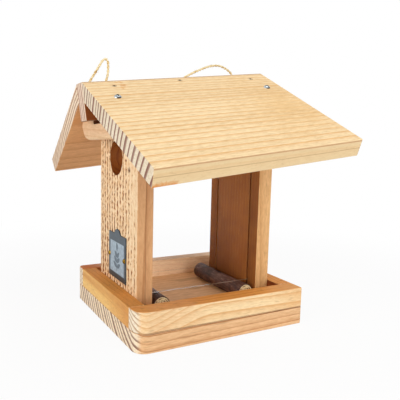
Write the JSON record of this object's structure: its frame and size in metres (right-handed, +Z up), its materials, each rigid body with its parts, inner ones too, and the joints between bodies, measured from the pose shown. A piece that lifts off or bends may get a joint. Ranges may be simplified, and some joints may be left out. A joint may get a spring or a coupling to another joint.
{
  "type": "seed bird feeder",
  "caption": "Hanging wooden seed feeder: railed tray, grooved gable walls with clear sliding panes over twigs, and a cleated gable roof that lifts along its twine.",
  "frame": {"origin": "middle of the base board's underside, where the feeder rests", "axes": "X along the roof's ridge, +X to the right wall; +Y from the front pane to the back; +Z up"},
  "size_m": [0.2102, 0.3005, 0.2676],
  "materials": {
    "tray_boards": "oiled softwood, planed",
    "wall_boards": "softwood, rough sawn outside and planed inside",
    "roof_boards": "softwood, planed, pale honey with fine grain",
    "cleats": "softwood, planed and rounded over",
    "twig_bark": "natural branch with its bark on",
    "clear_panes": "clear acrylic sheet, polished",
    "zinc_screws": "bright zinc plate",
    "steel_brads": "bare steel, dulled",
    "name_plate": "printed sheet, satin",
    "brass_pins": "domed, lightly polished",
    "twine": "two-ply sisal twine"
  },
  "bodies": {
    "feeder": {"base_board": "tray_boards", "front_rail": "tray_boards", "back_rail": "tray_boards", "left_rail": "tray_boards", "right_rail": "tray_boards", "left_wall": "wall_boards", "right_wall": "wall_boards", "left_twig": "twig_bark", "right_twig": "twig_bark", "name_plate": "name_plate", "plate_pins": "brass_pins", "wall_brad": "steel_brads", "wall_screws": "zinc_screws", "twig_screws": "zinc_screws", "rail_brads": "steel_brads", "cord_ends": "twine"},
    "roof": {"front_roof_slab": "roof_boards", "back_roof_slab": "roof_boards", "ridge_board": "roof_boards", "left_cleat": "cleats", "right_cleat": "cleats", "cleat_screws": "zinc_screws", "ridge_brads": "steel_brads", "hanging_cord": "twine"},
    "front_pane": {"front_pane": "clear_panes"},
    "back_pane": {"back_pane": "clear_panes"}
  },
  "joints": [
    {"name": "roof_lift", "type": "slide", "parent": "feeder", "child": "roof", "axis": [0, 0, 1], "range_m": [0, 0.12]},
    {"name": "front_pane_lift", "type": "slide", "parent": "feeder", "child": "front_pane", "axis": [0, 0, 1], "range_m": [0, 0.1]},
    {"name": "back_pane_lift", "type": "slide", "parent": "feeder", "child": "back_pane", "axis": [0, 0, 1], "range_m": [0, 0.1]}
  ],
  "couplings": [
    {"joint": "front_pane_lift", "follows": "roof_lift", "ratio": 0.8},
    {"joint": "back_pane_lift", "follows": "roof_lift", "ratio": 0.8}
  ]
}
